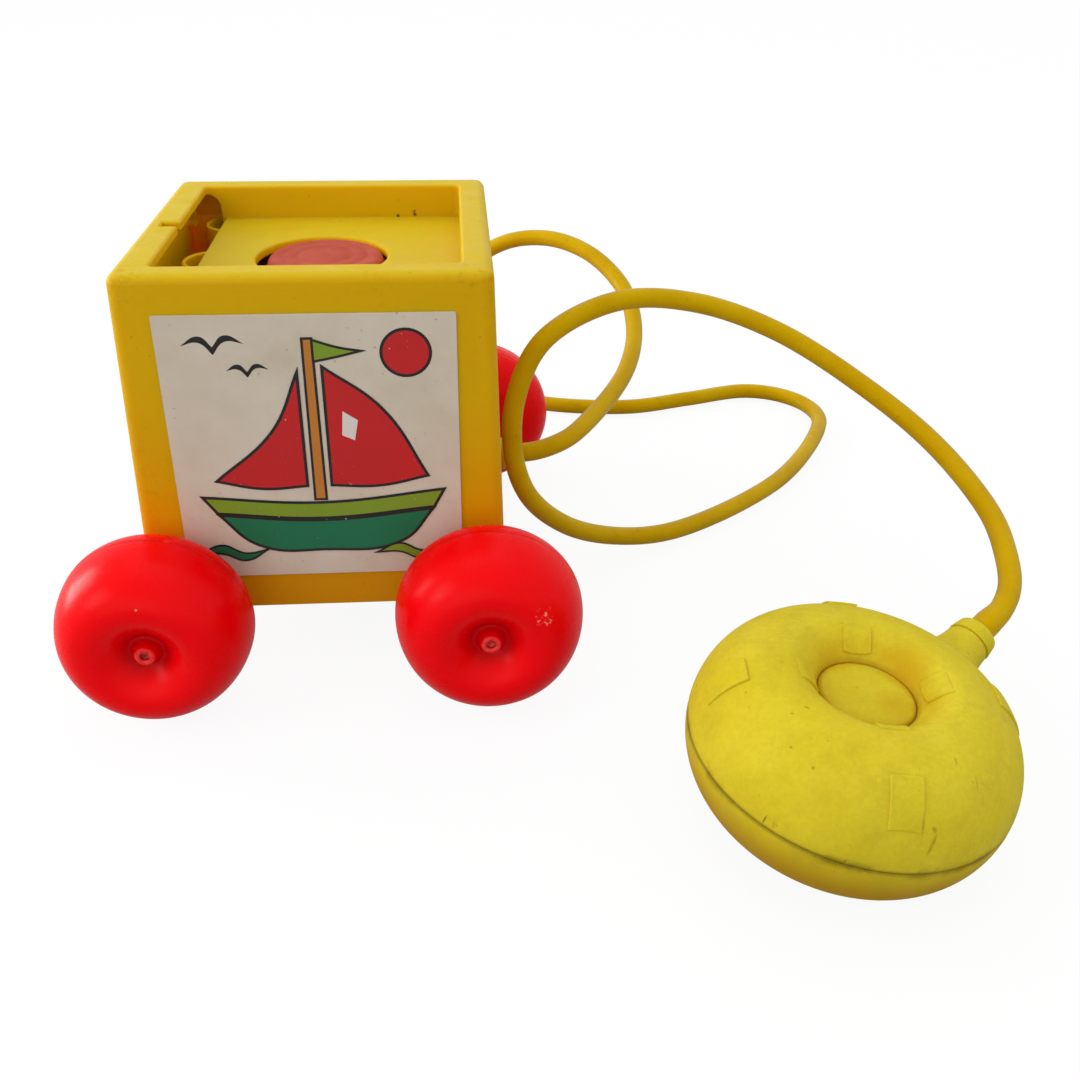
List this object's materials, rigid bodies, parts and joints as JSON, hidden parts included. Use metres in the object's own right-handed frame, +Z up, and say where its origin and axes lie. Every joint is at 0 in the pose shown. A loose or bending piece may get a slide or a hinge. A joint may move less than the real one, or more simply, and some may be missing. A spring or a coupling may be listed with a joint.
{
  "type": "pull-along activity block",
  "caption": "Yellow plastic baby activity block on red wheels, with a squeeze bulb on a long hose that pops up a red bellows in its top.",
  "frame": {"origin": "centre of the base plate's flat underside, which is level with the block's lower edge", "axes": "+X the way the block is pulled, out of the face that the hose leaves; +Y the block's left side; +Z up"},
  "size_m": [0.2746, 0.3149, 0.122],
  "materials": {
    "yellow_plastic": "moulded, worn to a soft gloss",
    "red_plastic": "glossy, scuffed on the rolling band",
    "red_vinyl": "matte, slightly faded",
    "hose_vinyl": "smooth, slightly see-through",
    "bulb_rubber": "matte, grubby",
    "label_paper": "printed, rubbed",
    "steel": "plain, tarnished"
  },
  "bodies": {
    "block": {"block_shell": "yellow_plastic", "base_plate": "yellow_plastic", "air_post": "yellow_plastic", "hose_socket": "yellow_plastic", "neck_bush": "yellow_plastic", "bellows_folds": "red_vinyl", "hose": "hose_vinyl", "bulb_upper": "bulb_rubber", "bulb_lower": "bulb_rubber", "neck_collar": "bulb_rubber", "right_label": "label_paper", "left_label": "label_paper", "rear_label": "label_paper", "base_screw_1": "steel", "base_screw_2": "steel", "base_screw_3": "steel", "base_screw_4": "steel", "bellows_clamp": "steel"},
    "rear_wheelset": {"rear_axle": "steel", "rear_left_wheel": "red_plastic", "rear_right_wheel": "red_plastic"},
    "front_wheelset": {"front_axle": "steel", "front_left_wheel": "red_plastic", "front_right_wheel": "red_plastic"},
    "pop_up": {"bellows_top": "red_vinyl"},
    "bulb_press": {"bulb_press_disc": "bulb_rubber"}
  },
  "joints": [
    {"name": "front_wheels_roll", "type": "hinge", "parent": "block", "child": "front_wheelset", "pos_m": [0.04695, 0, 0.006], "axis": [0, 1, 0], "continuous": true},
    {"name": "rear_wheels_roll", "type": "hinge", "parent": "block", "child": "rear_wheelset", "pos_m": [-0.04695, 0, 0.006], "axis": [0, 1, 0], "continuous": true},
    {"name": "bellows_rise", "type": "slide", "parent": "block", "child": "pop_up", "axis": [0, 0, 1], "range_m": [0, 0.022], "stiffness_N_per_m": 60, "deforming": ["bellows_folds"]},
    {"name": "bulb_squeeze", "type": "slide", "parent": "block", "child": "bulb_press", "axis": [-0.1151, 0.0516, -0.992], "range_m": [0, 0.011], "stiffness_N_per_m": 200, "deforming": ["bulb_upper"]}
  ],
  "couplings": [
    {"joint": "bulb_squeeze", "follows": "bellows_rise", "ratio": 0.5}
  ]
}
